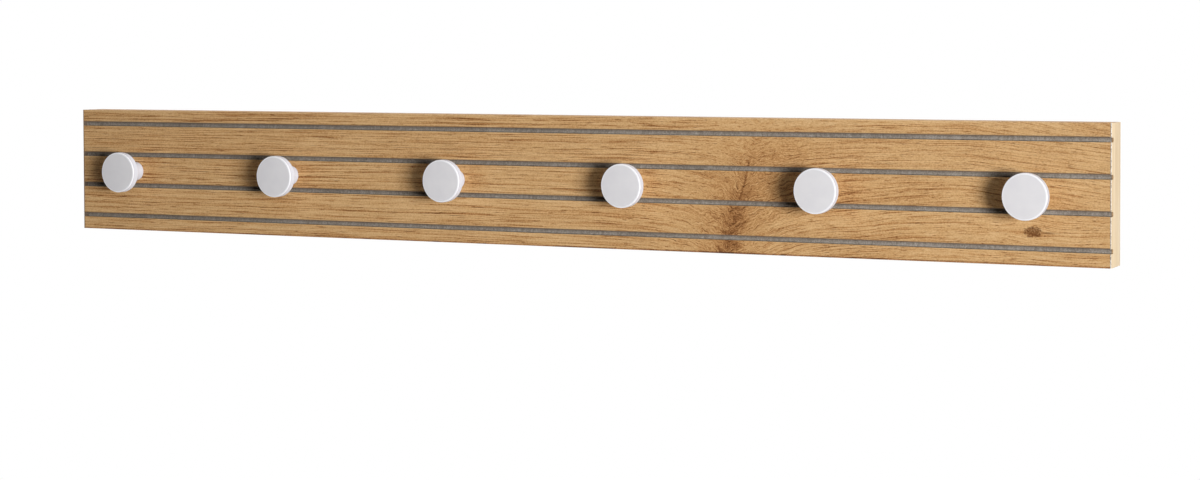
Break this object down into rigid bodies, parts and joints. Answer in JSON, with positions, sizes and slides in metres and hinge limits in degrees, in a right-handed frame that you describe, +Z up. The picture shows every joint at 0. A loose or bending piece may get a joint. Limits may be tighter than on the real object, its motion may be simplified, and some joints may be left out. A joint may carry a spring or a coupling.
{
  "type": "wall coat hook rail",
  "caption": "Wall coat rail: a grooved oak-veneered board on a grey core, with a row of round white knobs for coats and hangers, hung on keyhole plates let into its back.",
  "frame": {"origin": "centre of the board's back face, which lies on the wall", "axes": "+X along the rail to the right as seen from the front, +Y into the wall, +Z up; the knobs point along -Y"},
  "size_m": [0.8, 0.0415, 0.09],
  "materials": {
    "oak": "oiled oak veneer, satin",
    "oak_edge": "oak edge band, satin",
    "pale_oak": "pale oak edge band, satin",
    "grey_core": "grey fibreboard, raw milled",
    "back_paper": "plain balancing sheet, matt",
    "white_lacquer": "white satin coating",
    "zinc": "bright zinc plating"
  },
  "bodies": {
    "root": {"core_board": "grey_core", "front_veneer_1": "oak", "front_veneer_2": "oak", "front_veneer_3": "oak", "front_veneer_4": "oak", "front_veneer_5": "oak", "back_sheet": "back_paper", "end_band_left": "pale_oak", "end_band_right": "pale_oak", "edge_band_top": "oak_edge", "edge_band_bottom": "oak_edge", "knob_1": "white_lacquer", "knob_2": "white_lacquer", "knob_3": "white_lacquer", "knob_4": "white_lacquer", "knob_5": "white_lacquer", "knob_6": "white_lacquer", "knob_screw_1": "zinc", "knob_screw_2": "zinc", "knob_screw_3": "zinc", "knob_screw_4": "zinc", "knob_screw_5": "zinc", "knob_screw_6": "zinc", "keyhole_plate_left": "zinc", "keyhole_plate_right": "zinc", "plate_screw_left_upper": "zinc", "plate_screw_left_lower": "zinc", "plate_screw_right_upper": "zinc", "plate_screw_right_lower": "zinc"}
  },
  "joints": []
}
